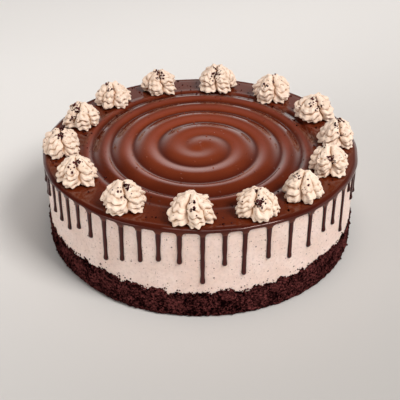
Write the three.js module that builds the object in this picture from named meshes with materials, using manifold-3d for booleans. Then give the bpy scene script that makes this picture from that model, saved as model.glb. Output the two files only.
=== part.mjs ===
// A whole nine-inch drip cake, chilled and uncut: a pressed crust of dark biscuit crumbs,
// a thick layer of pale speckled cream filling, and a poured chocolate glaze whose top is
// combed into one spiral and whose rim runs down the side in drips. Fourteen rosettes of
// whipped cream stand round the rim.
//
// Millimetres, +Z up. The origin is the centre of the flat underside. -Y is the front, and
// a bearing is measured in degrees from the front, growing towards +X.
import * as THREE from 'three';
import Module from 'manifold-3d';

// Layers, from the table up
const wallRadius = 115;
const crustHeight = 22.4;
const fillingTop = 69.9;
const glazeValley = 71.2;
const glazeRim = 72.1;
const gap = 0.3;

// Glaze: its lip over the rim, and the drips that run from it
const lipRadius = 116.7;
const lipLow = 68.8;
const dripSpacing = 7.1;
const dripHalfWidth = 1.85;
const dripThickness = 1.8;
// [bearing, height of the tip] of the drips on the front half, as they ran
const frontDrips = [
  [-76, 54], [-69, 50.5], [-62.7, 43.9], [-57.2, 43], [-51.5, 42], [-45.5, 48.6],
  [-39.6, 46.9], [-33.2, 33.8], [-26.5, 38], [-20.1, 41], [-13.5, 44.2], [-6.6, 43.7],
  [0.8, 28.1], [7.9, 42.2], [14.6, 33.1], [22.8, 42.3], [31.1, 37.3], [39.4, 39.6],
  [46.7, 44.9], [52.6, 45.1], [59.4, 30.9], [65, 58.5], [70.5, 45.4],
];

// Spiral: it winds outward clockwise, seen from above, from a hook near the middle
const spiralCentre = { x: 0.8, y: -6.3 };
const spiralStretch = 1.056;
const spiralStart = 24.4;
const spiralPitch = 22.5;
const pitchLoss = 1.35;
const ridgeHeight = 2.3;
const ridgeEnd = 83.5;

// Rosettes: [bearing, width, distance from the axis] of each, as they were piped
const rosettes = [
  [-3.2, 31.2, 102.6], [20.8, 29.2, 104], [42, 27, 102.4], [65.8, 28, 98.6], [89, 27.2, 101],
  [114.5, 30.6, 98.4], [143, 30.6, 97.8], [171.2, 31.4, 98], [200.7, 29.4, 97.8],
  [227.2, 28.6, 97.3], [252.4, 28.6, 96.4], [279, 28, 102.6], [303.6, 27.8, 102],
  [330.6, 30, 102.6],
];
const rosetteHeight = 20.3;

// Faceting: all the round layers share the same columns, so their skins stay parallel
const columns = 72;
const rosetteColumns = 24;

const radians = (degrees) => degrees * Math.PI / 180;
const bump = (value, centre, width) => Math.exp(-(((value - centre) / width) ** 2));

// A repeatable run of numbers from 0 to 1
function seededDraws(seed) {
  let state = seed;
  return () => {
    state = (state * 1664525 + 1013904223) % 4294967296;
    return state / 4294967296;
  };
}

// The point at a bearing, a distance from the axis and a height
function place(bearing, radius, z) {
  const angle = radians(bearing - 90);
  return [radius * Math.cos(angle), radius * Math.sin(angle), z];
}

// A ring of points, one for each column, from a function of the bearing
function ring(pointAt) {
  return Array.from({ length: columns }, (_, j) => pointAt(j * 360 / columns));
}

const evenRing = (radius, z) => ring((bearing) => place(bearing, radius, z));

// A closed skin through a stack of rings, with a fan to a middle point at either end
function skin(firstMiddle, rings, lastMiddle) {
  const count = rings[0].length;
  const points = [firstMiddle, ...rings.flat(), lastMiddle];
  const last = points.length - 1;
  const at = (row, j) => 1 + row * count + j % count;
  const faces = [];
  for (let j = 0; j < count; j += 1) {
    faces.push([0, at(0, j + 1), at(0, j)]);
    for (let row = 0; row + 1 < rings.length; row += 1) {
      faces.push([at(row, j), at(row, j + 1), at(row + 1, j + 1)]);
      faces.push([at(row, j), at(row + 1, j + 1), at(row + 1, j)]);
    }
    faces.push([last, at(rings.length - 1, j), at(rings.length - 1, j + 1)]);
  }
  const geometry = new THREE.BufferGeometry();
  geometry.setAttribute('position', new THREE.Float32BufferAttribute(points.flat(), 3));
  geometry.setIndex(faces.flat());
  return facingOut(geometry);
}

// Turns a skin over if its volume comes out negative
function facingOut(geometry) {
  const position = geometry.getAttribute('position');
  const index = geometry.getIndex().array;
  const [a, b, c] = [new THREE.Vector3(), new THREE.Vector3(), new THREE.Vector3()];
  let volume = 0;
  for (let i = 0; i < index.length; i += 3) {
    a.fromBufferAttribute(position, index[i]);
    b.fromBufferAttribute(position, index[i + 1]);
    c.fromBufferAttribute(position, index[i + 2]);
    volume += a.dot(b.cross(c));
  }
  if (volume < 0) {
    geometry.setIndex(Array.from(index).reverse());
  }
  return geometry;
}

const wasm = await Module();
wasm.setup();

function solidOf(geometry) {
  return new wasm.Manifold(new wasm.Mesh({
    numProp: 3,
    vertProperties: new Float32Array(geometry.getAttribute('position').array),
    triVerts: new Uint32Array(geometry.getIndex().array),
  }));
}

function geometryOf(solid) {
  const mesh = solid.getMesh();
  const geometry = new THREE.BufferGeometry();
  geometry.setAttribute('position', new THREE.BufferAttribute(mesh.vertProperties, 3));
  geometry.setIndex(Array.from(mesh.triVerts));
  return geometry;
}

// ---- Crust -------------------------------------------------------------------------

// Height of the crust at the wall: lowest at the front, with a hand-pressed, wavy edge
function crustEdge(bearing) {
  const side = bearing > 180 ? bearing - 360 : bearing;
  const waves = 0.7 * Math.sin(radians(9 * side + 40)) + 0.5 * Math.sin(radians(17 * side));
  return crustHeight - 2.9 * bump(side, 0, 32) + 1.2 * bump(side, -52, 22) + waves;
}

// The surface where the crust meets the filling: wavy at the wall, level inside
function crustTopRings(lift) {
  const innerRadius = wallRadius - 13;
  return [
    ring((bearing) => place(bearing, wallRadius, crustEdge(bearing) + lift)),
    evenRing(innerRadius, crustHeight - 2 + lift),
  ];
}

function crustGeometry() {
  const draw = seededDraws(11);
  const footInset = (bearing) => 1 + 2 * bump(bearing, 310, 20);
  const crumbs = [0.28, 0.52, 0.76].map((share) => ring((bearing) => {
    const inset = footInset(bearing) * (1 - share) * 0.5;
    const crag = 1.5 * (draw() - 0.5);
    return place(bearing, wallRadius - inset + crag, crustEdge(bearing) * share + 0.8 * crag);
  }));
  const foot = ring((bearing) => place(bearing, wallRadius - footInset(bearing), 0));
  return skin([0, 0, 0], [foot, ...crumbs, ...crustTopRings(0)], [0, 0, crustHeight - 2]);
}

// ---- Filling -----------------------------------------------------------------------

// The filling stands a little higher at the front left, where the glaze is thin
const fillingLift = (bearing) => 1.1 * bump(bearing, 313, 14);

// Rings over the filling's top and shoulder, from the middle out, moved by a clearance
function shoulderRings(clearance) {
  const rows = [
    { radius: wallRadius - 2, drop: 0 },
    { radius: wallRadius - 0.5, drop: 0.25 },
    { radius: wallRadius, drop: 0.9 },
  ];
  const shoulder = rows.map(({ radius, drop }) => ring((bearing) => (
    place(bearing, radius + clearance, fillingTop - drop + fillingLift(bearing) + clearance)
  )));
  return [evenRing(wallRadius - 25, fillingTop + clearance), ...shoulder];
}

function fillingGeometry() {
  const rings = [...shoulderRings(0), ...crustTopRings(gap)];
  return skin([0, 0, fillingTop], rings, [0, 0, crustHeight - 2 + gap]);
}

// ---- Glaze -------------------------------------------------------------------------

// Lower edge of the glaze between two drips
function lipEdge(bearing) {
  const wave = 0.3 * Math.sin(radians(5 * bearing + 20)) + 0.2 * Math.sin(radians(13 * bearing));
  return lipLow + wave + 0.9 * fillingLift(bearing);
}

// The poured sheet: over the filling's top, and round the rim to the lip
function sheetGeometry() {
  const lipInside = ring((bearing) => place(bearing, wallRadius + gap, lipEdge(bearing)));
  const lipRows = [
    { radius: lipRadius - 0.3, rise: 0 },
    { radius: lipRadius, rise: 0.35 },
    { radius: lipRadius - 0.25, rise: 0.75 },
  ];
  const lip = lipRows.map(({ radius, rise }) => ring((bearing) => {
    const low = lipEdge(bearing);
    return place(bearing, radius, low + rise * (glazeRim - low));
  }));
  const top = [
    evenRing(lipRadius - 1.9, glazeRim + 0.1),
    evenRing(lipRadius - 6, glazeRim),
    evenRing(ridgeEnd + 5, glazeRim),
    evenRing(ridgeEnd + 0.5, glazeValley),
  ];
  return skin(
    [0, 0, fillingTop + gap],
    [...shoulderRings(gap), lipInside, ...lip, ...top],
    [0, 0, glazeValley],
  );
}

// Radius of the spiral's steep inner face after a number of turns from the right-hand side
const spiralRadius = (turns) => spiralStart + spiralPitch * turns - pitchLoss * turns ** 2;

// A point of the spiral, kept inside the circle where the rosettes begin
function spiralPoint(turns, offset, z) {
  const angle = -2 * Math.PI * turns;
  const radius = Math.max(spiralRadius(turns) + offset, 0.5);
  const x = spiralCentre.x + (radius / spiralStretch) * Math.cos(angle);
  const y = spiralCentre.y + radius * spiralStretch * Math.sin(angle);
  const keep = Math.min(1, ridgeEnd / Math.hypot(x, y));
  return [x * keep, y * keep, z];
}

// The spiral ridge: a steep face on its inner side, a crest, and a long slope outward that
// reaches almost to the next turn. It fades at the hook and under the rosettes.
function ridgeGeometry() {
  const firstTurn = -0.98;
  const lastTurn = 3.08;
  const steps = 112;
  const root = glazeValley - 0.8;
  const sections = [];
  for (let i = 0; i <= steps; i += 1) {
    const share = i / steps;
    const turns = THREE.MathUtils.lerp(firstTurn, lastTurn, share);
    const reach = spiralRadius(turns + 1) - spiralRadius(turns);
    const grow = Math.min(1, 5 * share);
    const fade = Math.min(1, 6 * (1 - share));
    const height = ridgeHeight * (grow * fade) ** 0.7 + 0.05;
    const face = 1.8 + 2.2 * (1 - grow);
    sections.push([
      spiralPoint(turns, -face, glazeValley - 0.1),
      spiralPoint(turns, -face, root),
      spiralPoint(turns, 0.8 * reach - face, root),
      spiralPoint(turns, 0.8 * reach - face, glazeValley - 0.1),
      spiralPoint(turns, 0.3 * reach, glazeValley + 0.72 * height),
      spiralPoint(turns, face * 0.5, glazeValley + height),
    ]);
  }
  return skin(middleOf(sections[0]), sections, middleOf(sections[steps]));
}

function middleOf(points) {
  return [0, 1, 2].map((axis) => points.reduce((sum, p) => sum + p[axis], 0) / points.length);
}

// One drip: a bead with a wide root in the lip, a slim stem and a fuller tip
function dripGeometry(bearing, tip, lean) {
  const root = lipEdge(bearing < 0 ? bearing + 360 : bearing);
  const rows = [
    { z: tip, width: 0.45, depth: 0.6 },
    { z: tip + 1.9, width: 1.18, depth: 1.3 },
    { z: tip + 5, width: 0.98, depth: 1 },
    { z: root - 3.4, width: 0.98, depth: 0.9 },
    { z: root + 1.1, width: 2.1, depth: 0.62 },
  ];
  const outline = [[-1, 0], [-0.72, 0.72], [0, 1], [0.72, 0.72], [1, 0]];
  const rings = rows.map(({ z, width, depth }) => outline.map(([across, out]) => {
    const side = across * width * dripHalfWidth + lean * (root - z);
    const radius = wallRadius + gap + out * depth * dripThickness;
    return place(bearing + side / radians(wallRadius), radius, z);
  }));
  return skin(middleOf(rings[0]), rings, middleOf(rings[rings.length - 1]));
}

// The drips that are out of sight at the back carry on at the same spacing
function allDrips() {
  const draw = seededDraws(5);
  const drips = frontDrips.map(([bearing, tip]) => ({ bearing, tip, lean: 0.03 * (draw() - 0.5) }));
  const start = frontDrips[frontDrips.length - 1][0];
  const end = frontDrips[0][0] + 360;
  const count = Math.round((end - start) / dripSpacing);
  for (let i = 1; i < count; i += 1) {
    const bearing = start + (end - start) * i / count + 1.6 * (draw() - 0.5);
    drips.push({ bearing, tip: 31 + 20 * draw(), lean: 0.03 * (draw() - 0.5) });
  }
  return drips;
}

function glazeGeometry() {
  const drips = allDrips().map(({ bearing, tip, lean }) => (
    solidOf(dripGeometry(bearing, tip, lean))
  ));
  const ridge = solidOf(ridgeGeometry());
  const sheet = solidOf(sheetGeometry()).add(ridge);
  return geometryOf(drips.reduce((whole, drip) => whole.add(drip), sheet));
}

// ---- Rosettes ----------------------------------------------------------------------

// Rows of a rosette from its flat base to its peak: share of its radius and height, depth
// of the pleats that the piping tip leaves, and depth of the cleft between the two coils
const rosetteRows = [
  { radius: 0.84, height: 0, pleat: 0.03, cleft: 0.05 },
  { radius: 1, height: 0.14, pleat: 0.08, cleft: 0.12 },
  { radius: 0.96, height: 0.33, pleat: 0.08, cleft: 0.2 },
  { radius: 0.84, height: 0.44, pleat: 0.04, cleft: 0.32 },
  { radius: 0.84, height: 0.6, pleat: 0.07, cleft: 0.4 },
  { radius: 0.66, height: 0.83, pleat: 0.08, cleft: 0.55 },
  { radius: 0.34, height: 1, pleat: 0.04, cleft: 0.8 },
];
const rosetteTwist = 12;
const cleftWidth = 13;

// The bearings of a rosette's columns, from -180 to 180, closer together at the cleft
const rosetteBearings = Array.from({ length: rosetteColumns }, (_, j) => {
  const share = 2 * j / rosetteColumns - 1;
  return 180 * Math.sign(share) * Math.abs(share) ** 1.25;
});

// A piped rosette: pleats that fan out from the top and turn as they rise, a slight waist
// between its lower and upper coil, and one deep cleft at the front that parts the top
function rosetteGeometry(width, seed) {
  const draw = seededDraws(seed);
  const lean = 16 * (draw() - 0.5) - 4;
  const height = rosetteHeight * (0.95 + 0.1 * draw());
  const swell = rosetteBearings.map(() => 1 + 0.08 * (draw() - 0.5));
  const rings = rosetteRows.map((row) => rosetteBearings.map((bearing, j) => {
    const cleft = row.cleft * bump(bearing, 0, cleftWidth);
    const pleat = row.pleat * (j % 2 ? 1 : -1);
    const radius = (width / 2) * row.radius * (swell[j] + pleat) * (1 - cleft);
    const turned = bearing + lean + rosetteTwist * row.height ** 2;
    return place(turned, radius, height * row.height * (1 - 0.25 * cleft));
  }));
  return skin([0, 0, 0], rings, [0, 0.08 * width, 0.9 * height]);
}

// ---- The cake ----------------------------------------------------------------------

function part(name, geometry, color, roughness) {
  const mesh = new THREE.Mesh(geometry, new THREE.MeshStandardMaterial({ color, roughness }));
  mesh.name = name;
  return mesh;
}

const cake = new THREE.Group();
cake.add(part('crust', crustGeometry(), 0x2b1512, 0.95));
cake.add(part('filling', fillingGeometry(), 0xe6d2c8, 0.7));
cake.add(part('ganache', glazeGeometry(), 0x5a2618, 0.15));
rosettes.forEach(([bearing, width, distance], i) => {
  const name = `rosette_${String(i + 1).padStart(2, '0')}`;
  const rosette = part(name, rosetteGeometry(width, 100 + i), 0xf0dcc6, 0.65);
  rosette.position.set(...place(bearing, distance, glazeRim + gap));
  cake.add(rosette);
});

export default cake;
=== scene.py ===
import math

import bpy
import numpy as np
from mathutils.bvhtree import BVHTree
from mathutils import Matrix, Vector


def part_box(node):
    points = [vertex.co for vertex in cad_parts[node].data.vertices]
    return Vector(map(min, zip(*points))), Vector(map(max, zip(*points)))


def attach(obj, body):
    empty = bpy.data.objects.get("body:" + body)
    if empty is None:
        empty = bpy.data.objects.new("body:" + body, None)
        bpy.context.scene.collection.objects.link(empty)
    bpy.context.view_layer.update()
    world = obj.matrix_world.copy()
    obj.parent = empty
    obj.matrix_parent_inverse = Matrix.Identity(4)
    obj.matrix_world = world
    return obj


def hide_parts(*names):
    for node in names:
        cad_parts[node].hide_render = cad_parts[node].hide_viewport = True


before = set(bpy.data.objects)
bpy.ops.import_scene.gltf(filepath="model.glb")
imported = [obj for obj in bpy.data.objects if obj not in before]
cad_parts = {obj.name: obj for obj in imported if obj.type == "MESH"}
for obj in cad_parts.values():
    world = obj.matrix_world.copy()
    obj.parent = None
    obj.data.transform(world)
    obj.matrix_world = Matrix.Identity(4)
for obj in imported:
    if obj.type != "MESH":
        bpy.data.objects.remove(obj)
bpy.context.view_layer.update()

# ---- Studio --------------------------------------------------------------------------
# A pale floor with a painted falloff of light across it, under soft studio light: a softbox
# high on the right, a wide one overhead and a fill on the left. The camera looks down on
# the cake from the front.
# Lengths are in metres throughout, and mm turns millimetres into them.
mm = 0.001
look_down = 32.4

camera_data = bpy.data.cameras.new("camera")
camera_data.sensor_width = 36
camera_data.lens = 74.27
camera = bpy.data.objects.new("camera", camera_data)
camera.location = (-0.1 * mm, -544.6 * mm, 366.4 * mm)
camera.rotation_euler = (math.radians(90 - look_down), 0, 0)
bpy.context.scene.collection.objects.link(camera)
bpy.context.scene.camera = camera
bpy.context.scene.view_settings.view_transform = "Standard"


class Wire:
    """A shader tree, or one output socket in it. Arithmetic on a socket adds Math nodes."""

    def __init__(self, tree, socket=None):
        self.tree = tree
        self.socket = socket

    def node(self, kind, settings=None, inputs=None, output=0):
        """Adds a node: first its settings, a ramp's stops among them, then its sockets."""
        made = self.tree.nodes.new("ShaderNode" + kind)
        for name, value in (settings or {}).items():
            if name == "stops":
                ramp = made.color_ramp
                while len(ramp.elements) < len(value):
                    ramp.elements.new(0.5)
                for element, (position, colour) in zip(ramp.elements, value):
                    element.position = position
                    element.color = (*colour, 1)
            else:
                setattr(made, name, value)
        for name, value in (inputs or {}).items():
            if isinstance(value, Wire):
                self.tree.links.new(value.socket, made.inputs[name])
            else:
                made.inputs[name].default_value = value
        return Wire(self.tree, made.outputs[output])

    def math(self, operation, *values):
        """One Math node on these values: each operator below adds the one of its name."""
        return self.node("Math", {"operation": operation}, dict(enumerate(values)))

    def __add__(self, other):
        return self.math("ADD", self, other)

    def __sub__(self, other):
        return self.math("SUBTRACT", self, other)

    def __rsub__(self, other):
        return self.math("SUBTRACT", other, self)

    def __mul__(self, other):
        return self.math("MULTIPLY", self, other)

    def __truediv__(self, other):
        return self.math("DIVIDE", self, other)

    __radd__ = __add__
    __rmul__ = __mul__

    def step(self, low, high):
        """0 below low and 1 above high, with a smooth rise between."""
        settings = {"interpolation_type": "SMOOTHSTEP"}
        return self.node("MapRange", settings, {"Value": self, "From Min": low, "From Max": high})

    def blend(self, colour_a, colour_b, kind="MIX"):
        """Colour a where this value is 0, colour b where it is 1."""
        settings = {"data_type": "RGBA", "blend_type": kind}
        return self.node("Mix", settings, {"Factor": self, 6: colour_a, 7: colour_b}, 2)


def linear(red, green, blue):
    """An sRGB colour, 0 to 255, as the linear colour with alpha that a socket takes."""
    share = np.array([red, green, blue]) / 255
    curve = np.where(share <= 0.04045, share / 12.92, ((share + 0.055) / 1.055) ** 2.4)
    return (*curve.tolist(), 1.0)


def new_finish(name):
    """A material with an empty tree but for its output: (material, wire into the tree)."""
    material = bpy.data.materials.new(name)
    material.use_nodes = True
    material.node_tree.nodes.clear()
    return material, Wire(material.node_tree)


def close_finish(tree, **sockets):
    """Ends a finish with a Principled shader: spaces in socket names are underscores."""
    inputs = {name.replace("_", " "): value for name, value in sockets.items()}
    shader = tree.node("BsdfPrincipled", None, inputs)
    output = tree.tree.nodes.new("ShaderNodeOutputMaterial")
    tree.tree.links.new(shader.socket, output.inputs["Surface"])


def softbox(name, place, width, height, watts):
    """A rectangular area light at place. Its two turns come from the way to the cake."""
    cake_middle = np.array((0, 0, 50 * mm))
    data = bpy.data.lights.new(name, "AREA")
    data.shape = "RECTANGLE"
    data.size = width
    data.size_y = height
    data.energy = watts
    data.color = (1, 0.98, 0.97)
    light = bpy.data.objects.new(name, data)
    light.location = place
    towards = cake_middle - np.array(place)
    flat = math.hypot(towards[0], towards[1])
    light.rotation_euler = (math.atan2(flat, -towards[2]), 0, math.atan2(-towards[0], towards[1]))
    bpy.context.scene.collection.objects.link(light)


softbox("key_light", (1.25, -1.05, 1.95), 0.9, 0.9, 50)
softbox("top_light", (0.1, -0.7, 2.4), 1.4, 1.0, 14)
softbox("left_fill", (-1.9, -1.6, 0.7), 1.3, 1.3, 17)

# The surround glows round the horizon and is dark overhead. It is brighter behind the cake
# on the right than in front of it on the left.
world = bpy.data.worlds.new("studio")
world.use_nodes = True
bpy.context.scene.world = world
sky = Wire(world.node_tree)
world.node_tree.nodes.clear()
direction = sky.node("TexCoord", None, None, "Generated")
height = sky.node("SeparateXYZ", None, {0: direction}, 2)
behind = sky.node("VectorMath", {"operation": "DOT_PRODUCT"}, {0: direction, 1: (0.6, 0.7, 0)}, 1)
stops = [
    (0.0, (1.35, 1.33, 1.31)),
    (0.3, (1.15, 1.13, 1.11)),
    (0.48, (0.32, 0.3, 0.3)),
    (0.57, (0.09, 0.085, 0.085)),
    (1.0, (0.09, 0.085, 0.085)),
]
glow = sky.node("ValToRGB", {"stops": stops}, {0: height})
strength = 0.77 + behind * 0.35
background = sky.node("Background", None, {"Color": glow, "Strength": strength})
sky_output = world.node_tree.nodes.new("ShaderNodeOutputWorld")
world.node_tree.links.new(background.socket, sky_output.inputs["Surface"])

# The floor's paint grows lighter from the front right to the back left: a painted falloff
# of the light, which is brighter towards the back left.
floor_size = 6.0
corner = floor_size / 2
floor_mesh = bpy.data.meshes.new("floor")
floor_mesh.from_pydata(
    [(-corner, -corner, 0), (corner, -corner, 0), (corner, corner, 0), (-corner, corner, 0)],
    [],
    [(0, 1, 2, 3)],
)
floor = bpy.data.objects.new("floor", floor_mesh)
bpy.context.scene.collection.objects.link(floor)
floor_finish, tree = new_finish("floor_painted_falloff")
place = tree.node("TexCoord", None, None, "Object")
depth = tree.node("VectorMath", {"operation": "DOT_PRODUCT"}, {0: place, 1: (-0.75, 1, 0)}, 1)
# Painted light: lighter towards the back left, darker towards the front right.
paint = depth.step(-0.45, 0.5).blend(linear(177, 174, 170), linear(250, 247, 243))
close_finish(tree, Base_Color=paint, Roughness=0.7)
floor_mesh.materials.append(floor_finish)

# ---- Crust ---------------------------------------------------------------------------
# Dark biscuit crumbs and butter pressed into the bottom of the ring. Its wall is one skin
# of pebbled relief that dives under the filling where the crumbs end, so that the upper
# edge comes out ragged, as crumbs leave it.
wall_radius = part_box("filling")[1].x
crust_height = 22.4 * mm


def wave(angle, turns, phase=0.0):
    """A sine round the cake: turns is its number of waves, phase in degrees."""
    return np.sin(turns * angle + math.radians(phase))


def bump(angle, centre, width):
    """A bell over bearings in degrees, from the front and growing to the right."""
    away = (np.degrees(angle) - centre + 180) % 360 - 180
    return np.exp(-((away / width) ** 2))


def crust_edge(angle):
    """Height of the crust at the wall: lowest in front, wavy as the hand pressed it."""
    waves = 0.7 * wave(angle, 9, 40) + 0.5 * wave(angle, 17) + 0.4 * wave(angle, 47, 30)
    return crust_height + (waves - 2.9 * bump(angle, 0, 32) + 1.2 * bump(angle, -52, 22)) * mm


def hashed(i, j, salt):
    """A repeatable number from 0 to 1 for two whole ones: the fraction of a large sine."""
    mixed = np.sin(i * 127.1 + j * 311.7 + salt * 74.7) * 43758.5453
    return mixed - np.floor(mixed)


def pebbles(u, v, size, across, salt):
    """Rounded grains on the plane (u, v): 1 on top of a grain, 0 in the gaps between them.

    The plane is cut into cells of that size, across cells to a round of u. Each cell holds
    one point, and the height falls with the distance to the nearest point.
    """
    column, row = np.floor(u / size), np.floor(v / size)
    nearest = np.full(u.shape, 9.0)
    for i in (-1, 0, 1):
        for j in (-1, 0, 1):
            ci, cj = column + i, row + j
            du = ci + 0.15 + 0.7 * hashed(ci % across, cj, salt) - u / size
            dv = cj + 0.15 + 0.7 * hashed(ci % across, cj, salt + 1) - v / size
            reach = 0.55 + 0.6 * hashed(ci % across, cj, salt + 2)
            nearest = np.minimum(nearest, np.hypot(du, dv) / reach)
    return np.sqrt(np.clip(1 - nearest**2, 0, 1))


def ring_points(angle, radius, z):
    """Points round the axis: angle is the bearing from the front, growing to the right."""
    return np.stack([radius * np.sin(angle), -radius * np.cos(angle), z + 0 * angle], -1)


def bearings(count):
    """So many bearings, evenly spaced round the axis from the front, in radians."""
    return np.arange(count) * 2 * math.pi / count


def closed_skin(rings, first, last):
    """Vertices and faces of a closed skin through rings of points, rows by columns by 3.

    Rows are joined by quads, columns wrap round, and fans close both ends at a point.
    """
    rows, columns = rings.shape[:2]
    points = np.concatenate([[first], rings.reshape(-1, 3), [last]])
    here = 1 + np.arange(rows * columns).reshape(rows, columns)
    beside = np.roll(here, -1, axis=1)
    quads = np.stack([here[:-1], beside[:-1], beside[1:], here[1:]], -1).reshape(-1, 4)
    end = len(points) - 1
    start_fan = np.stack([beside[0], here[0], 0 * here[0]], -1)
    end_fan = np.stack([here[-1], beside[-1], 0 * here[-1] + end], -1)
    return points, quads, np.concatenate([start_fan, end_fan])


def joined(skins):
    """Several skins' vertices, quads and triangles as one."""
    starts = np.cumsum([0] + [len(points) for points, _, _ in skins])
    points = np.concatenate([points for points, _, _ in skins])
    quads = np.concatenate([quads + start for (_, quads, _), start in zip(skins, starts)])
    corners = np.concatenate([tris + start for (_, _, tris), start in zip(skins, starts)])
    return points, quads, corners


def new_piece(name, skin, material, nodes=()):
    """A smooth piece of the cake from a skin's points, quads and triangles.

    It rides the cake's one body, takes its slot and replaces the nodes it is given.
    """
    points, quads, corners = skin
    mesh = bpy.data.meshes.new(name)
    mesh.vertices.add(len(points))
    mesh.vertices.foreach_set("co", np.ravel(points).astype(np.float32))
    mesh.loops.add(quads.size + corners.size)
    mesh.loops.foreach_set("vertex_index", np.concatenate([quads.ravel(), corners.ravel()]))
    mesh.polygons.add(len(quads) + len(corners))
    starts = np.concatenate(
        [4 * np.arange(len(quads)), quads.size + 3 * np.arange(len(corners))]
    )
    mesh.polygons.foreach_set("loop_start", starts)
    mesh.update(calc_edges=True)
    mesh.validate()
    mesh.shade_smooth()
    mesh.materials.append(material)
    piece = bpy.data.objects.new(name, mesh)
    bpy.context.scene.collection.objects.link(piece)
    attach(piece, "root")
    if nodes:
        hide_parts(*nodes)
    return piece


def crumb_finish(name):
    """Dark biscuit: reddish brown on the grains, dull all over, with painted shade that turns
    the gaps between grains black.

    The attribute "rise" is 0 in the gaps between grains and 1 on their tops: it places the
    painted shade.
    """
    material, tree = new_finish(name)
    place = tree.node("TexCoord", None, None, "Object")
    rise = tree.node("Attribute", {"attribute_name": "rise"}, None, "Fac")
    coarse = tree.node("TexVoronoi", None, {"Vector": place, "Scale": 560.0}, "Distance")
    fine = tree.node("TexVoronoi", None, {"Vector": place, "Scale": 1300.0}, "Distance")
    grain = tree.node("TexVoronoi", None, {"Vector": place, "Scale": 900.0}, "Color")
    tone = tree.node("SeparateColor", None, {0: grain}, 0)
    cloud = tree.node("TexNoise", None, {"Vector": place, "Scale": 110.0, "Detail": 4.0})
    swell = 1 - coarse * 0.8 - fine * 0.6
    # Painted shade: black in the gaps between grains and at the edges of the texture's cells,
    # mixed with the crumbs' own random tone.
    tone_and_painted_shade = (rise * 0.4 + tone * 0.6 + swell * 0.7 + cloud * 1.2).step(1.05, 2.25)
    colour = tone_and_painted_shade.blend(linear(10, 2, 3), linear(118, 62, 60))
    normal = tree.node("Bump", None, {"Height": swell, "Strength": 1.0, "Distance": 1.1 * mm})
    close_finish(
        tree, Base_Color=colour, Roughness=0.8, Normal=normal, Specular_IOR_Level=0.0
    )
    return material


def crumb(place, size, draw):
    """One crumb: a ball of six by four corners, each pulled in or out, turned at random."""
    fall = np.linspace(0.2, 0.8, 4)[:, None] * math.pi
    angle = bearings(6)[None, :]
    ball = ring_points(angle, np.sin(fall), -np.cos(fall))
    ball = ball * (0.7 + 0.5 * draw.random((4, 6, 1))) * (1, 0.9, 0.75)
    turn = np.linalg.qr(draw.normal(size=(3, 3)))[0]
    turn = turn * np.sign(np.linalg.det(turn))
    points, quads, corners = closed_skin(ball, (0, 0, -0.8), (0, 0, 0.8))
    return points @ turn.T * size + place, quads, corners


def add_rise(piece, rise):
    """Keeps one number for each vertex, for the finish to read."""
    attribute = piece.data.attributes.new("rise", "FLOAT", "POINT")
    attribute.data.foreach_set("value", np.ravel(rise).astype(np.float32))


def crust_relief(angle, z):
    """How far the pressed crumbs stand out of the ring's wall, and their rise from 0 to 1.

    Three sizes of pebble lie on clumps as wide as a fingertip. Past the crust's edge the
    base falls away, so that only the proud crumbs still show in front of the filling. The
    foot rounds in by a square, and the wall leans in a little at the front left.
    """
    foot_height = 3.2 * mm
    deepest = -3
    run = angle * wall_radius
    round_length = 2 * math.pi * wall_radius
    rise = 0
    for count, weight, salt in ((150, 0.34, 3), (300, 0.36, 1), (560, 0.3, 5)):
        rise = rise + weight * pebbles(run, z, round_length / count, count, salt)
    clump = wave(angle, 23, 10) * wave(angle, 57, 80) + 0.6 * wave(angle, 41, 0)
    past = (z - crust_edge(angle)) / mm - 1.1 * clump
    base = np.where(past < -2, 0.5, 0.5 - 0.3 * (past + 2))
    foot = np.clip((foot_height - z) / foot_height, 0, 1)
    lean = np.clip(1 - z / crust_height, 0, 1) * 2 * bump(angle, -50, 20)
    out = base + 2.6 * (rise - 0.72) + 0.2 * clump - foot**2 * 1.3 - lean
    return np.maximum(out, deepest) * mm, rise


def crust_skin():
    """The wall over a grid of bearing and height, and the rise of each of its vertices.

    It is closed underneath, and behind by a cone that falls back into the filling.
    """
    columns = 1440
    rows = 64
    top = 27 * mm
    back = 19 * mm
    angle, z = np.meshgrid(bearings(columns), np.linspace(0.6 * mm, top, rows))
    relief, rise = crust_relief(angle, z)
    wall = ring_points(angle, wall_radius + relief, z)
    low = ring_points(angle[:1], wall_radius + relief[:1] - 0.8 * mm, 0 * z[:1])
    high = ring_points(angle[:1], wall_radius - 6 * mm, back)
    skin = closed_skin(np.concatenate([low, wall, high]), (0, 0, 0), (0, 0, back))
    rise = np.concatenate([rise[:1], rise, rise[-1:]])
    return skin, np.concatenate([[0], np.ravel(rise), [0]])


crumb_material = crumb_finish("biscuit_crumb")
skin, rise = crust_skin()
add_rise(new_piece("crust_crumb", skin, crumb_material, ["crust"]), rise)


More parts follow.
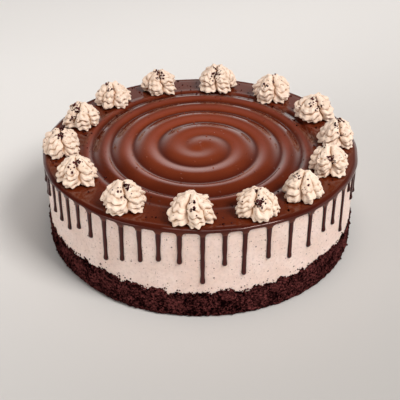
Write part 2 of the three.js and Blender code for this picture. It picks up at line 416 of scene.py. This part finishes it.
def loose_crumbs():
    """Crumbs that stand out of the pressed wall, strays over its edge, and clusters there.

    A cluster is a bell of crumbs about a point on the edge, thinning out upward. Each crumb
    sits on the relief, or on the filling where the relief has dived under that.
    """
    wall_crumbs = 1150
    stray_crumbs = 420
    clusters = 260
    lowest = 1.2 * mm
    filling_shows = 18 * mm
    draw = np.random.default_rng(7)
    places = []
    for _ in range(wall_crumbs):
        places.append((2 * math.pi * draw.random(), lowest + 19 * mm * draw.random(), 1))
    for _ in range(stray_crumbs):
        angle = 2 * math.pi * draw.random()
        z = float(crust_edge(np.array(angle))) + 4.5 * mm * draw.random() ** 2
        places.append((angle, z, 0.8))
    for _ in range(clusters):
        middle = 2 * math.pi * draw.random()
        spread = (0.8 + 2.0 * draw.random() ** 2) * mm / wall_radius
        reach_up = 0.5 + 2.6 * draw.random() ** 2
        for _ in range(5 + int(12 * draw.random() * (0.4 + reach_up / 3))):
            aside = draw.normal(0, 1)
            above = (reach_up * draw.random() * math.exp(-0.5 * aside**2) - 0.8) * mm
            angle = middle + spread * aside
            z = float(crust_edge(np.array(angle))) + above
            places.append((angle, z, 1))
    crumbs = []
    for angle, z, share in places:
        size = (0.35 + 0.65 * draw.random() ** 1.6) * mm * share
        relief = float(crust_relief(np.array([angle]), np.array([z]))[0][0])
        if z > filling_shows:
            relief = max(relief, 0)
        reach = wall_radius + relief + size * (0.35 - 0.4 * draw.random())
        place = ring_points(np.array(angle), reach, max(z, lowest))
        crumbs.append(crumb(place, size, draw))
    return joined(crumbs)


skin = loose_crumbs()
add_rise(
    new_piece("crust_loose", skin, crumb_material),
    np.random.default_rng(8).random(len(skin[0])) * 0.6 + 0.4,
)

# ---- Filling -------------------------------------------------------------------------
# A thick layer of cream beaten with biscuit dust, set in the ring and unmoulded: a smooth
# pale wall with fine specks, pores and the faint drag marks of the knife.
filling_top = 69.9 * mm


def filling_lift(angle):
    """The filling stands a little higher at the front left, where the glaze is thin."""
    return 1.1 * mm * bump(angle, -47, 14)


def filling_skin():
    """A drum: its wall swells and dips by a tenth of a millimetre, with a rounded shoulder."""
    columns = 720
    rows = 48
    wall_top = 69 * mm
    angle, share = np.meshgrid(bearings(columns), np.linspace(0, 1, rows))
    start = crust_edge(angle) - 1.4 * mm
    z = start + (wall_top - start) * share
    soft = 0.05 * wave(angle, 31) * wave(z / wall_radius, 40, 30) + 0.04 * wave(angle, 73, 50)
    wall = ring_points(angle, wall_radius + soft * mm, z + filling_lift(angle) * share)
    edge = angle[:1]
    tuck = ring_points(edge, wall_radius - 6 * mm, start[:1] - 1 * mm)
    lift = filling_lift(edge)
    shoulder = [
        ring_points(edge, wall_radius - 0.3 * mm, filling_top - 0.3 * mm + lift),
        ring_points(edge, wall_radius - 2 * mm, filling_top + lift),
        ring_points(edge, wall_radius - 25 * mm, filling_top),
    ]
    return closed_skin(
        np.concatenate([tuck, wall, *shoulder]), (0, 0, 12 * mm), (0, 0, filling_top)
    )


def filling_finish():
    """Pale cream: fine grey grain, dark specks of biscuit, a few pores, soft under light."""
    material, tree = new_finish("speckled_filling")
    place = tree.node("TexCoord", None, None, "Object")
    cloud = tree.node("TexNoise", None, {"Vector": place, "Scale": 45.0, "Detail": 5.0})
    body = cloud.step(0.35, 0.65).blend(linear(229, 203, 190), linear(237, 214, 203))
    dust = tree.node("TexNoise", None, {"Vector": place, "Scale": 500.0, "Detail": 3.0})
    body = (dust.step(0.4, 0.65) * 0.35).blend(body, linear(206, 180, 168))
    for scale, rare, tint in ((750.0, 0.5, (150, 118, 106)), (330.0, 0.62, (84, 58, 54))):
        cells = tree.node("TexVoronoi", None, {"Vector": place, "Scale": scale}, "Distance")
        pick = tree.node("TexVoronoi", None, {"Vector": place, "Scale": scale}, "Color")
        chosen = tree.node("SeparateColor", None, {0: pick}, 0)
        speck = 1 - (cells - (chosen - rare) * 0.62).step(-0.05, 0.03)
        body = (speck * 0.85).blend(body, linear(*tint))
    dent = cells.step(0.0, 0.25) * 0.4 + dust * 0.3 + cloud * 0.6
    normal = tree.node("Bump", None, {"Height": dent, "Strength": 0.25, "Distance": 0.3 * mm})
    close_finish(
        tree,
        Base_Color=body,
        Roughness=0.55,
        Normal=normal,
        Subsurface_Weight=0.25,
        Subsurface_Radius=(1.0, 0.6, 0.4),
        Subsurface_Scale=2 * mm,
    )
    return material


new_piece("filling_wall", filling_skin(), filling_finish(), ["filling"])

# ---- Glaze ---------------------------------------------------------------------------
# Chocolate and cream poured warm over the chilled cake, then drawn into one spiral with
# the tip of a spatula while the cake turned. It sets glossy, with a few small bubbles.
glaze_level = 72.2 * mm
combed_radius = 94 * mm
flat_radius = 108 * mm
rope_radius = 114.3 * mm
lip_radius = 116.7 * mm
spiral_centre = (0.8 * mm, -6.3 * mm)
spiral_stretch = 1.056
spiral_start = 24.4 * mm
spiral_pitch = 22.5 * mm
pitch_loss = 1.35 * mm


def spiral_turns(x, y):
    """Turns of the spiral out to a point, and the radius in the spiral's stretched circle.

    The radius grows by the pitch for each turn, less a square term, and the turn's own
    angle is added, which makes the whole numbers one curve that winds out clockwise: the
    steep face of the ridge.
    """
    along = (x - spiral_centre[0]) * spiral_stretch
    up = (y - spiral_centre[1]) / spiral_stretch
    radius = np.hypot(along, up)
    room = spiral_pitch**2 - 4 * pitch_loss * (radius - spiral_start)
    turns = (spiral_pitch - np.sqrt(np.maximum(room, 0))) / (2 * pitch_loss)
    return turns + np.arctan2(up, along) / (2 * math.pi), radius


def glaze_relief(x, y):
    """Height of the combed glaze over its level.

    Each turn is a softened saw tooth, atan(w sin t / (1 - w cos t)) with w for how sharp it
    is: a short steep rise and a long slope outward, which a cosine rounds. It is lower and
    blunter at the middle of the spiral, and fades under the rosettes. Nine faint lines, a
    sine with a slow drift, run along each turn.
    """
    ridge_height = 2.0 * mm
    line_height = 0.02 * mm
    turns, radius = spiral_turns(x, y)
    t = 2 * math.pi * turns
    grown = np.clip(radius / (40 * mm), 0, 1)
    sharp = 0.14 + 0.32 * np.clip(radius / (66 * mm), 0, 1)
    tooth = np.arctan2(sharp * np.sin(t), 1 - sharp * np.cos(t)) - 0.35 * np.cos(t)
    fade = np.clip((combed_radius - np.hypot(x, y)) / (16 * mm), 0, 1)
    height = ridge_height * (0.3 + 0.7 * grown) * fade**1.2
    lines = line_height * np.clip(radius / (30 * mm) - 1.6, 0, 1) * fade
    return height * tooth + lines * np.sin(9 * t + 2 * np.sin(t / 3))


def lip_edge(angle):
    """Height of the glaze's lower edge between two drips."""
    waves = 0.3 * wave(angle, 5, 20) + 0.2 * wave(angle, 13)
    return 68.8 * mm + waves * mm + 0.9 * filling_lift(angle)


drip_half_width = 1.6 * mm
drip_depth = 1.8 * mm
drip_flare = 3.0 * mm
drip_spacing = 7.1
front_drips = [
    (-76, 54), (-69, 50.5), (-62.7, 43.9), (-57.2, 43), (-51.5, 42), (-45.5, 48.6),
    (-39.6, 46.9), (-33.2, 33.8), (-26.5, 38), (-20.1, 41), (-13.5, 44.2), (-6.6, 43.7),
    (0.8, 28.1), (7.9, 42.2), (14.6, 33.1), (22.8, 42.3), (31.1, 37.3), (39.4, 39.6),
    (46.7, 44.9), (52.6, 45.1), (59.4, 30.9), (65, 58.5), (70.5, 45.4),
]  # fmt: skip


def seeded_draws(seed):
    """A repeatable run of numbers from 0 to 1, the same rule as the solid's."""
    while True:
        seed = (seed * 1664525 + 1013904223) % 4294967296
        yield seed / 4294967296


def all_drips():
    """(bearing, tip height, lean) of every drip: those in front, then the rest by rule."""
    draw = seeded_draws(5)
    drips = [(bearing, tip, 0.03 * (next(draw) - 0.5)) for bearing, tip in front_drips]
    start, end = front_drips[-1][0], front_drips[0][0] + 360
    count = round((end - start) / drip_spacing)
    for i in range(1, count):
        bearing = start + (end - start) * i / count + 1.6 * (next(draw) - 0.5)
        drips.append((bearing, 31 + 20 * next(draw), 0.03 * (next(draw) - 0.5)))
    return drips


drips = all_drips()


def glaze_skin():
    """The sheet: a combed disc, a shoulder that rolls over the edge, and a rounded lip.

    The shoulder is a quarter round from the disc down to a level rim, with a low rope along
    it, a bell across its width. The lip turns in under the rim to a lower edge that sweeps
    down to each drip in a quarter circle and is level across the drip's own width, which
    the drip covers. The columns crowd round each drip.
    """
    offsets = np.array([-4.6, -3.9, -3.2, -2.6, -2.1, -1.6, 0, 1.6, 2.1, 2.6, 3.2, 3.9, 4.6])
    middles = np.radians([bearing for bearing, _, _ in drips])
    near = middles[:, None] + offsets * mm / wall_radius
    halfway = middles + 0.5 * (np.roll(middles, -1) - middles) % (2 * math.pi)
    angle = np.sort(np.concatenate([near.ravel(), halfway]) % (2 * math.pi))[None, :]
    reach = flat_radius * np.linspace(0.004, 1, 98)[:, None]
    flat = ring_points(angle, reach, 0 * angle + 0 * reach)
    flat[..., 2] = glaze_level + glaze_relief(flat[..., 0], flat[..., 1])
    away = np.abs((angle - middles[:, None] + math.pi) % (2 * math.pi) - math.pi)
    away = away.min(0)[None, :] * wall_radius - drip_half_width
    sweep = drip_flare - np.clip(away, 0, drip_flare)
    low = lip_edge(angle) - drip_flare + np.sqrt(drip_flare**2 - sweep**2)
    swell = (0.3 * wave(angle, 11, 30) + 0.12 * wave(angle, 29, 70)) * mm
    turn = np.linspace(0.06, 1, 14)[:, None] * math.pi / 2
    rim = lip_edge(angle) + 1.1 * mm
    across = flat_radius + (lip_radius - flat_radius) * np.sin(turn) ** 0.8
    rope = 0.4 * mm * np.exp(-(((across - rope_radius) / (1.4 * mm)) ** 2))
    shoulder = ring_points(
        angle,
        across + swell * np.sin(turn),
        rim + (glaze_level - rim) * np.cos(turn) ** 0.55 + rope,
    )
    under = np.linspace(0.12, 1, 6)[:, None] * math.pi / 2
    lip = ring_points(
        angle,
        lip_radius - 1.2 * mm * (1 - np.cos(under)) + swell * (1 - 0.5 * np.sin(under)),
        rim + (low - rim) * np.sin(under),
    )
    tuck = [
        ring_points(angle, wall_radius - 0.4 * mm, low + 0.2 * mm),
        ring_points(angle, wall_radius - 0.8 * mm, low + 0.9 * mm),
        ring_points(angle, wall_radius - 20 * mm, filling_top + 0 * angle),
    ]
    rings = np.concatenate([flat, shoulder, lip, *tuck])[::-1]
    return closed_skin(rings, (0, 0, filling_top), (0, 0, glaze_level))


def glaze_finish():
    """Set chocolate glaze: glossy, lighter towards the middle by a painted sheen, dark round
    the lip by painted shade, with pin bubbles that lift its skin.

    The attribute "rise" is -1 along a ridge, which is paler by a painted sheen, and 1 in the
    valley inside it, which is darker by painted shade.
    """
    material, tree = new_finish("chocolate_glaze")
    place = tree.node("TexCoord", None, None, "Object")
    reach = tree.node("VectorMath", {"operation": "LENGTH"}, {0: place}, 1)
    cloud = tree.node("TexNoise", None, {"Vector": place, "Scale": 38.0, "Detail": 3.0})
    # Painted sheen: lighter towards the middle of the top, darker outside it.
    painted_sheen = (0.098 - reach + (cloud - 0.5) * 0.03).step(-0.012, 0.02)
    sheet = painted_sheen.blend(linear(94, 36, 15), linear(128, 55, 29))
    rise = tree.node("Attribute", {"attribute_name": "rise"}, None, "Fac")
    # Painted shade darkens each valley, and a painted sheen lightens each ridge.
    sheet = (rise * 0.9).blend(sheet, linear(72, 22, 10))
    sheet = (rise * -0.42).blend(sheet, linear(148, 76, 62))
    # Painted shade: dark over the shoulder and round the lip.
    colour = reach.step(0.1335, 0.137).blend(sheet, linear(60, 18, 11))
    cells = tree.node("TexVoronoi", None, {"Vector": place, "Scale": 150.0}, "Distance")
    pick = tree.node("TexVoronoi", None, {"Vector": place, "Scale": 150.0}, "Color")
    chosen = tree.node("SeparateColor", None, {0: pick}, 0)
    bubble = (1 - cells.step(0.0, 0.12)) * chosen.step(0.86, 0.88)
    height = bubble * 0.6 + cloud * 0.25
    normal = tree.node("Bump", None, {"Height": height, "Strength": 0.6, "Distance": 0.4 * mm})
    close_finish(
        tree,
        Base_Color=colour,
        Roughness=0.1,
        Normal=normal,
        Specular_IOR_Level=0.36,
        Specular_Tint=(1.0, 0.75, 0.7, 1.0),
    )
    return material


def glaze_rise(points):
    """The finish's "rise" at each vertex, from the share of a turn past the steep face.

    The crest, paler by a painted sheen, is a bell just past that face, and the valley, darker
    by painted shade, a ramp that grows up to the next one. Both fade out at the middle of the
    spiral and under the rosettes.
    """
    x, y = points[:, 0], points[:, 1]
    turns, radius = spiral_turns(x, y)
    share = turns % 1
    valley = np.clip((share - 0.3) / 0.55, 0, 1) ** 1.5 * np.clip((1 - share) / 0.1, 0, 1)
    crest = np.exp(-(((share - 0.16) / 0.13) ** 2))
    inside = np.clip((combed_radius - np.hypot(x, y)) / (10 * mm), 0, 1)
    grown = np.clip(radius / (22 * mm) - 0.3, 0, 1)
    return (valley - crest) * inside * grown


glaze_material = glaze_finish()
skin = glaze_skin()
glaze_piece = new_piece("glaze_top", skin, glaze_material, ["ganache"])
add_rise(glaze_piece, glaze_rise(skin[0]))

# ---- Drips ---------------------------------------------------------------------------
# Glaze that ran over the rim while it was warm. Each drip has a flared root in the lip, a
# slim stem and a fuller tip where the last of it set.
drip_rows = 46
front_columns = 17
back_columns = 3


def drip_skin(bearing, tip, lean):
    """A bead on the wall, closed by a flat back.

    Across, it is a half round. Down, its width is a stem, drawn thinner and fuller by a
    sine, with a flare at the root, where it leaves the lip, and a bulb at the tip that ends
    in a half circle.
    """
    centre = math.radians(bearing)
    root = float(lip_edge(np.array(centre)))
    tip = tip * mm
    start = root + 1.6 * mm
    z = start + (tip - start) * np.linspace(0, 1, drip_rows)[:, None]
    below = np.clip(root + 0.2 * mm - z, 0, drip_flare)
    widen = drip_flare - np.sqrt(drip_flare**2 - (drip_flare - below) ** 2)
    bulb = np.exp(-(((z - tip - 2.1 * mm) / (2.4 * mm)) ** 2))
    end = np.sqrt(np.clip(1 - ((tip + 2 * mm - z) / (2 * mm)).clip(0, 1) ** 2, 0.002, 1))
    drawn = 0.95 + 0.06 * np.sin(z / mm * 0.45 + bearing)
    drawn = drawn + 0.35 * np.exp(-np.clip(root - z, 0, 1) / (6 * mm))
    half = (drip_half_width * (drawn + 0.14 * bulb) + 0.7 * widen) * end
    depth = drip_depth * (0.86 + 0.34 * bulb) * end
    turn = np.linspace(0, math.pi, front_columns)[None, :]
    across = half * np.sign(np.cos(turn)) * np.abs(np.cos(turn)) ** 0.9
    out = depth * np.sin(turn) ** 0.75
    back = np.linspace(1, -1, back_columns + 2)[None, 1:-1] * -half * 0.9
    across = np.concatenate([across, back], 1)
    out = np.concatenate([out, np.zeros(back.shape)], 1)
    side = centre + (across + lean * (root - z)) / wall_radius
    points = ring_points(side, wall_radius - 0.25 * mm + out, z + 0 * side)
    return closed_skin(points[:, ::-1][::-1], points[-1].mean(0), points[0].mean(0))


def drip_finish():
    """Thin dark glaze, with a painted reflection: lighter and greyer along the middle of a
    bead, darker and redder at its sides.

    The attribute "rise" is 0 along the middle of a drip and 1 where it meets the wall.
    """
    material, tree = new_finish("thin_glaze")
    rise = tree.node("Attribute", {"attribute_name": "rise"}, None, "Fac")
    # Painted reflection: lighter along the middle of each bead than at its sides.
    colour = rise.step(0.45, 0.95).blend(linear(60, 18, 14), linear(42, 6, 4))
    close_finish(
        tree,
        Base_Color=colour,
        Roughness=0.12,
        Specular_IOR_Level=0.35,
        Specular_Tint=(1.0, 0.8, 0.76, 1.0),
    )
    return material


def drip_rise():
    """The finish's "rise" over one drip: |cos| across its front, 1 behind, 0 at the ends."""
    front = np.abs(np.cos(np.linspace(0, math.pi, front_columns)))
    row = np.concatenate([front, np.ones(back_columns)])[::-1]
    return np.concatenate([[0], np.tile(row, drip_rows), [0]])


skin = joined([drip_skin(*drip) for drip in drips])
drip_piece = new_piece("glaze_drips", skin, drip_finish(), ["ganache"])
add_rise(drip_piece, np.tile(drip_rise(), len(drips)))

# ---- Bubbles -------------------------------------------------------------------------
# Air that rose while the glaze was setting and left low domes in its skin. They are the
# same glaze, and lie a little closer together towards the middle.
bubble_count = 190


def bubbles():
    """Each bubble is a ball flattened to three quarters, its middle in the surface."""
    draw = np.random.default_rng(21)
    domes = []
    for _ in range(bubble_count):
        radius = 100 * mm * draw.random() ** 0.6
        angle = 2 * math.pi * draw.random()
        x, y = radius * math.sin(angle), -radius * math.cos(angle)
        z = glaze_level + float(glaze_relief(np.array(x), np.array(y)))
        size = (0.35 + 0.5 * draw.random() ** 2) * mm
        fall = np.linspace(0.15, 0.85, 7)[:, None] * math.pi
        dome = ring_points(bearings(10)[None, :], np.sin(fall), -np.cos(fall))
        points, quads, corners = closed_skin(dome, (0, 0, -1), (0, 0, 1))
        domes.append((points * (size, size, size * 0.75) + (x, y, z), quads, corners))
    return joined(domes)


new_piece("glaze_bubbles", bubbles(), glaze_material)

# ---- Rosettes ------------------------------------------------------------------------
# Whipped cream piped through a star. Each is one ruffled ball: six columns of drooping
# folds round it, and at the front a deep cleft that parts two broad petals on top.
rosette_nodes = sorted(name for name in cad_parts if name.startswith("rosette"))


def about(draw, middle, spread, count=None):
    """Draws evenly from the middle less the spread to the middle plus the spread."""
    return middle + spread * (2 * draw.random(count) - 1)


def swayed_grid(bearing, level, draw):
    """Bearing and level with a few slow sines added, so that nothing piped runs straight."""
    phase = 2 * math.pi * draw.random(6)
    swayed = bearing + 0.12 * (1 - level) * np.sin(2 * bearing + phase[0])
    swayed = swayed + 0.09 * np.sin(6 * level + phase[1]) + 0.05 * np.sin(17 * level + phase[2])
    lifted = level + 0.04 * np.sin(2 * bearing + phase[3])
    lifted = lifted + 0.022 * np.sin(5 * bearing + phase[4])
    lifted = lifted + 0.014 * np.sin(11 * bearing + 9 * level + phase[5])
    return swayed, lifted


def fold_push(bearing, level, swayed, lifted, top, draw):
    """How far the folds stand out, as a share of the rosette's half width.

    Six uneven columns of bearings, x from -1 to 1 across each, bulge by a half round and
    hold a stack of folds: |cos(pi turn)| makes round ridges with sharp creases, and turn
    grows with the level by the column's own count, arch and tilt. Each fold has its own
    height, fine grooves and a ruffle. All of it is weaker on top.
    """
    middles = np.array([-180, -130, -74, 0, 74, 130])
    spreads = np.array([10, 13, 12, 3, 12, 13])
    borders = np.radians(about(draw, middles, spreads, 6))
    widths = 0.5 * ((np.roll(borders, -1) - borders) % (2 * math.pi))
    angle = (swayed - borders[0]) % (2 * math.pi) + borders[0]
    column = np.searchsorted(borders, angle, side="right") - 1
    x = (angle - borders[column]) / widths[column] - 1
    count = about(draw, 5.5, 0.9, 6)
    arch = about(draw, 0.15, 0.6, 6)
    tilt = about(draw, 0, 0.5, 6)
    start = draw.random(6)
    turn = count[column] * lifted + arch[column] * x**2 + tilt[column] * x + start[column]
    turn = turn + 0.1 * np.sin(7 * x + 5 * level + 3 * column)
    ridge = np.abs(np.cos(math.pi * turn)) ** 0.55
    number = np.floor(turn + 0.5)
    own = hashed(number, column, 100 * draw.random())
    groove = np.abs(np.cos(math.pi * (3 * turn + 0.5 * np.sin(4 * x)))) ** 0.7
    middle = 1 - np.abs(x) ** 2.2
    push = ridge * middle * ((0.09 + 0.2 * own) * (1 - 0.7 * top) + 0.04 * groove * (1 - top))
    push = push + 0.045 * ridge * np.sin(17 * bearing + 7 * number + 5 * level) * (1 - top)
    return push + 0.13 * (1 - 0.8 * top) * np.sqrt(np.clip(1 - x**2, 0, 1))


def part_petals(push, swayed, level, top):
    """The push with the top parted into two petals: a deep cleft in front, a shallow behind.

    A cleft is an exponential of the sine of half the bearing, or of its cosine, and opens
    above the foot. The petals between the clefts stand out by the sine of the bearing.
    """
    front = np.exp(-np.abs(np.sin(swayed / 2)) / 0.075) * np.clip((level - 0.1) / 0.15, 0, 1)
    back = np.exp(-np.abs(np.cos(swayed / 2)) / 0.1) * np.clip((level - 0.3) / 0.3, 0, 1)
    push = push - 0.36 * front * (1 - 0.3 * top) - 0.12 * back
    return push + 0.13 * top * np.abs(np.sin(swayed)) ** 0.6


def rosette_skin(half, height, draw):
    """One rosette about its own foot, over a grid of bearing and level from 0 to 1.

    Its profile is a dome that bellies out over a narrower foot: a cosine outward and a sine
    upward. Folds and petals push it out along its slope, the petals' tips rise in a bell,
    and each fold droops over the one below. The whole is turned a little and fitted to its
    box.
    """
    bearing, level = np.meshgrid(bearings(360) - math.pi, np.linspace(0, 1, 220))
    top = np.clip((level - 0.5) / 0.32, 0, 1)
    top = top * top * (3 - 2 * top)
    swayed, lifted = swayed_grid(bearing, level, draw)
    push = fold_push(bearing, level, swayed, lifted, top, draw)
    push = part_petals(push, swayed, level, top)
    fall = np.radians(122 * level - 32)
    radius = 0.79 * np.maximum(np.cos(fall), 0.002) ** 0.85 + push * np.cos(0.9 * fall)
    z = 0.72 * np.sin(fall) + 0.22 * level**4 + push * np.sin(0.9 * fall)
    tips = 0.13 * np.exp(-(((level - 0.91) / 0.05) ** 2)) * np.abs(np.sin(swayed)) ** 3
    droop = 0.6 * push * (1 - top) * np.cos(fall) * np.clip(level / 0.12, 0, 1)
    ball = ring_points(bearing + about(draw, 0, 0.5), radius, z + tips - droop)
    points, quads, corners = closed_skin(ball, ball[0].mean(0), ball[-1].mean(0))
    lowest, highest = points.min(0), points.max(0)
    size = np.array([2 * half, 2 * half, height]) / (highest - lowest)
    points = (points - (lowest + highest) / 2) * size + (0, 0, height / 2)
    return points, quads, corners


def neighbours_mean(values, edges, count):
    """The mean of each vertex's neighbours, for an array with one row for each vertex."""
    total = np.zeros_like(values)
    for column in range(values.shape[1]):
        for here, there in ((0, 1), (1, 0)):
            total[:, column] += np.bincount(
                edges[:, here], values[edges[:, there], column], len(values)
            )
    return total / count[:, None]


def crease_depth(mesh):
    """How far each vertex lies under the surface that forty rounds of averaging leave."""
    points = np.empty(3 * len(mesh.vertices), np.float32)
    mesh.vertices.foreach_get("co", points)
    points = points.reshape(-1, 3).astype(float)
    edges = np.empty(2 * len(mesh.edges), np.int32)
    mesh.edges.foreach_get("vertices", edges)
    edges = edges.reshape(-1, 2)
    normals = np.empty(3 * len(mesh.vertices), np.float32)
    mesh.vertex_normals.foreach_get("vector", normals)
    normals = normals.reshape(-1, 3)
    count = np.bincount(edges.ravel(), minlength=len(points))
    smooth = points
    for _ in range(40):
        smooth = 0.5 * smooth + 0.5 * neighbours_mean(smooth, edges, count)
    return ((smooth - points) * normals).sum(1)


def cream_finish():
    """Whipped cream with biscuit dust: warm white with dark specks, and tan in the creases by
    painted shade.

    The attribute "rise" is the depth of a crease in millimetres, negative on a ridge: it sets
    the painted shade.
    """
    material, tree = new_finish("piped_cream")
    place = tree.node("TexCoord", None, None, "Object")
    rise = tree.node("Attribute", {"attribute_name": "rise"}, None, "Fac")
    cloud = tree.node("TexNoise", None, {"Vector": place, "Scale": 150.0, "Detail": 4.0})
    body = cloud.step(0.35, 0.65).blend(linear(232, 206, 184), linear(240, 217, 197))
    # Painted shade: the deeper a crease, the darker and tanner the cream.
    shaded = rise.step(-0.1, 0.44).blend(body, linear(162, 115, 76))
    cells = tree.node("TexVoronoi", None, {"Vector": place, "Scale": 420.0}, "Distance")
    pick = tree.node("TexVoronoi", None, {"Vector": place, "Scale": 420.0}, "Color")
    chosen = tree.node("SeparateColor", None, {0: pick}, 0)
    speck = 1 - (cells - (chosen - 0.78) * 0.8).step(-0.03, 0.03)
    colour = (speck * 0.8).blend(shaded, linear(96, 66, 56))
    fine = tree.node("TexNoise", None, {"Vector": place, "Scale": 700.0, "Detail": 3.0})
    height = cloud * 0.6 + fine * 0.4
    normal = tree.node("Bump", None, {"Height": height, "Strength": 0.35, "Distance": 0.4 * mm})
    close_finish(
        tree,
        Base_Color=colour,
        Roughness=0.55,
        Normal=normal,
        Subsurface_Weight=0.06,
        Subsurface_Radius=(1.0, 0.65, 0.4),
        Subsurface_Scale=0.8 * mm,
    )
    return material


# Each rosette stands a little sunk in the glaze. Its folds fuse into one even skin where
# they press into each other, as soft cream does.
cream_material = cream_finish()
rosette_fill = 0.96
rosette_sink = 0.2 * mm
skin_grain = 0.36 * mm
rosette_pieces = []
for index, node in enumerate(rosette_nodes):
    low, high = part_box(node)
    draw = np.random.default_rng(300 + index)
    half = rosette_fill * (high.x - low.x) / 2
    points, quads, corners = rosette_skin(half, high.z - low.z, draw)
    foot = np.array([(low.x + high.x) / 2, (low.y + high.y) / 2, low.z - rosette_sink])
    piece = new_piece(
        f"cream_{node}", (points + foot, quads, corners), cream_material, [node]
    )
    fuse = piece.modifiers.new("fuse", "REMESH")
    fuse.mode = "VOXEL"
    fuse.voxel_size = skin_grain
    fuse.use_smooth_shade = True
    graph = bpy.context.evaluated_depsgraph_get()
    fused = bpy.data.meshes.new_from_object(piece.evaluated_get(graph))
    piece.modifiers.clear()
    piece.data = fused
    fused.materials.clear()
    fused.materials.append(cream_material)
    # Each vertex keeps its crease depth, which sets the painted shade in the creases.
    add_rise(piece, crease_depth(fused) / mm)
    rosette_pieces.append(piece)

# ---- Crumbs on the rosettes ----------------------------------------------------------
# Biscuit crumbs sprinkled over the cream while it was soft. Most fell into the clefts, a
# pocketful at a time, and a fine dust of them lies all over.
pocket_crumbs = 24
dust_crumbs = 34
throw = np.array([0, 0.84, -0.54])
throw_length = 40 * mm


def cream_surface(piece):
    """A search tree over a rosette's faces, for the crumbs to land on."""
    points = np.empty(3 * len(piece.data.vertices), np.float32)
    piece.data.vertices.foreach_get("co", points)
    faces = [tuple(face.vertices) for face in piece.data.polygons]
    return BVHTree.FromPolygons(points.reshape(-1, 3).tolist(), faces)


def landed(surface, target, size, proud, draw):
    """The crumb thrown through target, in a list, or an empty list where it misses.

    It stops where the throw meets the cream, its middle proud by that share of its size.
    """
    hit = surface.ray_cast((target - throw * throw_length).tolist(), throw.tolist())[0]
    if hit is None:
        return []
    return [crumb(np.array(hit) - throw * size * proud, size, draw)]


def rosette_crumbs():
    """On each rosette three pockets of crumbs, each a bell across and up, and even dust."""
    draw = np.random.default_rng(11)
    crumbs = []
    for node, piece in zip(rosette_nodes, rosette_pieces):
        low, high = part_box(node)
        middle = np.array([(low.x + high.x) / 2, (low.y + high.y) / 2, low.z])
        half, tall = (high.x - low.x) / 2, high.z - low.z
        surface = cream_surface(piece)
        amount = 0.5 + 1.0 * draw.random()
        for level in (0.8, 0.55, 0.3):
            middle_x = draw.normal(0, 0.16 * half)
            middle_z = (level + 0.1 * draw.normal()) * tall
            for _ in range(int(pocket_crumbs * amount * draw.random() ** 0.6)):
                x = middle_x + draw.normal(0, 0.1 * half)
                z = middle_z + draw.normal(0, 0.07 * tall)
                size = (0.3 + 0.8 * draw.random() ** 1.6) * mm
                crumbs += landed(surface, middle + (x, 0, z), size, 0.2, draw)
        for _ in range(int(dust_crumbs * amount)):
            x = (2 * draw.random() - 1) * 0.9 * half
            z = (0.1 + 0.9 * draw.random()) * tall
            size = (0.14 + 0.5 * draw.random() ** 4) * mm
            crumbs += landed(surface, middle + (x, 0, z), size, 0.3, draw)
    return joined(crumbs)


skin = rosette_crumbs()
add_rise(
    new_piece("rosette_crumbs", skin, crumb_material),
    np.random.default_rng(12).random(len(skin[0])) * 0.8 + 0.9,
)

# ---- Crumbs on the glaze -------------------------------------------------------------
# More of the same crumbs, that missed the cream: most lie close round the rosettes, and
# none on the rounded shoulder, where they would roll off.
fallen_crumbs = 420
shoulder_starts = 112 * mm


def glaze_crumbs():
    """Two in three lie in a bell round a rosette's foot, the others in one inside the rim."""
    draw = np.random.default_rng(31)
    crumbs = []
    feet = [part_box(node) for node in rosette_nodes]
    for i in range(fallen_crumbs):
        if i % 3:
            low, high = feet[i % len(feet)]
            reach = (high.x - low.x) / 2 + abs(draw.normal(0, 4)) * mm
            angle = 2 * math.pi * draw.random()
            x = (low.x + high.x) / 2 + reach * math.sin(angle)
            y = (low.y + high.y) / 2 - reach * math.cos(angle)
        else:
            reach = 113 * mm - abs(draw.normal(0, 16)) * mm
            angle = 2 * math.pi * draw.random()
            x, y = reach * math.sin(angle), -reach * math.cos(angle)
        if math.hypot(x, y) > shoulder_starts:
            continue
        z = glaze_level + float(glaze_relief(np.array(x), np.array(y)))
        size = (0.3 + 0.7 * draw.random() ** 2) * mm
        crumbs.append(crumb(np.array([x, y, z + 0.25 * size]), size, draw))
    return joined(crumbs)


skin = glaze_crumbs()
add_rise(
    new_piece("glaze_crumbs", skin, crumb_material),
    np.random.default_rng(32).random(len(skin[0])) * 0.6 + 0.5,
)
